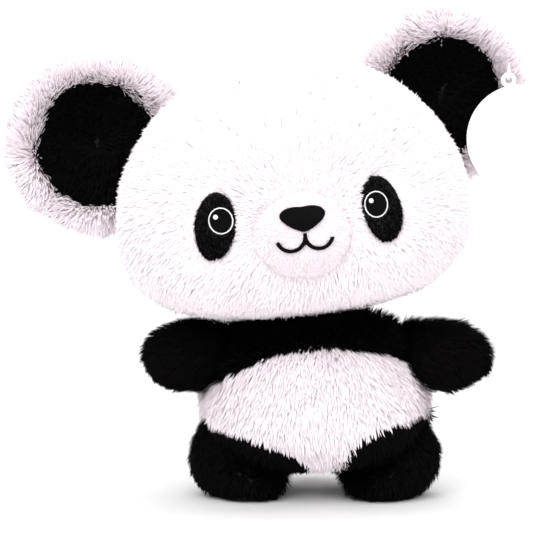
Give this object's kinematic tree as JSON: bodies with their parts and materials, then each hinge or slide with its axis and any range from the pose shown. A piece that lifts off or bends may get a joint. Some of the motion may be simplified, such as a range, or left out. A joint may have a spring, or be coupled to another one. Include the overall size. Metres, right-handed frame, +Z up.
{
  "type": "plush panda",
  "caption": "Standing plush panda with a large leaning head, round ears, stub limbs that flex at their seams, flat soles and a blank swing tag.",
  "frame": {"origin": "middle of the whole toy's footprint box, on the floor it stands on", "axes": "+Z up, the face towards -Y, +X towards the panda's own left"},
  "size_m": [0.342, 0.1698, 0.2956],
  "materials": {
    "white_plush": "long soft pile",
    "black_plush": "long soft pile",
    "short_white_pile": "short pile",
    "short_black_pile": "short pile",
    "sole_plush": "flattened pile",
    "filling": "loose fibre",
    "pellet_cloth": "pellets in a cloth bag",
    "black_thread": "satin stitch",
    "white_thread": "satin stitch",
    "label_satin": "woven satin",
    "card": "smooth printed-stock card, blank",
    "nylon": "clear-white moulded"
  },
  "bodies": {
    "torso": {"belly_panel": "white_plush", "chest_panel": "black_plush", "lower_back_panel": "white_plush", "shoulder_panel": "black_plush", "pellet_bag": "pellet_cloth", "torso_filling": "filling", "hip_left_front_panel": "black_plush", "hip_left_back_panel": "black_plush", "hip_right_front_panel": "black_plush", "hip_right_back_panel": "black_plush", "tail": "white_plush", "care_label": "label_satin", "ladder_stitch": "white_thread"},
    "neck": {"neck_filling": "filling"},
    "neck_seam": {"neck_thread": "white_thread"},
    "head": {"head_front_panel": "white_plush", "head_back_left_panel": "white_plush", "head_back_right_panel": "white_plush", "head_filling": "filling", "muzzle_panel": "short_white_pile", "muzzle_filling": "filling", "nose": "black_thread", "mouth": "black_thread", "eye_patch_left": "short_black_pile", "eye_ring_left": "white_thread", "eye_disc_left": "black_thread", "eye_highlight_left": "white_thread", "eye_patch_right": "short_black_pile", "eye_ring_right": "white_thread", "eye_disc_right": "black_thread", "eye_highlight_right": "white_thread"},
    "ear_left": {"ear_left_back_panel": "white_plush", "ear_left_rim_panel": "white_plush", "ear_left_inner_panel": "black_plush", "ear_left_filling": "filling"},
    "arm_left": {"arm_left_fabric": "black_plush", "arm_left_filling": "filling"},
    "leg_left": {"leg_left_fabric": "black_plush", "leg_left_sole": "sole_plush", "leg_left_filling": "pellet_cloth"},
    "ear_right": {"ear_right_back_panel": "white_plush", "ear_right_rim_panel": "white_plush", "ear_right_inner_panel": "black_plush", "ear_right_filling": "filling"},
    "arm_right": {"arm_right_fabric": "black_plush", "arm_right_filling": "filling"},
    "leg_right": {"leg_right_fabric": "black_plush", "leg_right_sole": "sole_plush", "leg_right_filling": "pellet_cloth"},
    "tag_loop": {"tag_loop": "nylon"},
    "tag": {"tag_card": "card"}
  },
  "joints": [
    {"name": "head_turn", "type": "hinge", "parent": "torso", "child": "neck", "pos_m": [0.00648, 0.01064, 0.104], "axis": [0, 0, 1], "range_deg": [-25, 25], "stiffness_Nm_per_rad": 0.8},
    {"name": "head_tilt", "type": "hinge", "parent": "neck", "child": "neck_seam", "pos_m": [0.00648, 0.01064, 0.104], "axis": [0, 1, 0], "range_deg": [-3, 12], "stiffness_Nm_per_rad": 1.5},
    {"name": "head_nod", "type": "hinge", "parent": "neck_seam", "child": "head", "pos_m": [0.00648, 0.01064, 0.104], "axis": [1, 0, 0], "range_deg": [-5, 8], "stiffness_Nm_per_rad": 1.5},
    {"name": "ear_left_fold", "type": "hinge", "parent": "head", "child": "ear_left", "pos_m": [0.07996, 0.02676, 0.23861], "axis": [-0.628, -0.038, 0.7773], "range_deg": [-18, 18], "stiffness_Nm_per_rad": 0.15},
    {"name": "ear_right_fold", "type": "hinge", "parent": "head", "child": "ear_right", "pos_m": [-0.09954, 0.01406, 0.20935], "axis": [-0.3491, -0.0311, -0.9366], "range_deg": [-18, 18], "stiffness_Nm_per_rad": 0.15},
    {"name": "arm_left_swing", "type": "hinge", "parent": "torso", "child": "arm_left", "pos_m": [0.07748, 0.00664, 0.088], "axis": [0, 0, -1], "range_deg": [-20, 45], "stiffness_Nm_per_rad": 0.3},
    {"name": "arm_right_swing", "type": "hinge", "parent": "torso", "child": "arm_right", "pos_m": [-0.05252, 0.00664, 0.088], "axis": [0, 0, 1], "range_deg": [-20, 45], "stiffness_Nm_per_rad": 0.3},
    {"name": "leg_left_swing", "type": "hinge", "parent": "torso", "child": "leg_left", "pos_m": [0.05548, 0.01264, 0.038], "axis": [-1, 0, 0], "range_deg": [-12, 24], "stiffness_Nm_per_rad": 1.8},
    {"name": "leg_right_swing", "type": "hinge", "parent": "torso", "child": "leg_right", "pos_m": [-0.03052, 0.01264, 0.038], "axis": [-1, 0, 0], "range_deg": [-12, 24], "stiffness_Nm_per_rad": 1.8},
    {"name": "tag_lift", "type": "hinge", "parent": "ear_left", "child": "tag_loop", "pos_m": [0.13048, 0.00164, 0.257], "axis": [-1, 0, 0], "range_deg": [0, 60]},
    {"name": "tag_swing", "type": "hinge", "parent": "tag_loop", "child": "tag", "pos_m": [0.13048, 0.00164, 0.257], "axis": [0, 1, 0], "range_deg": [-25, 0]}
  ]
}
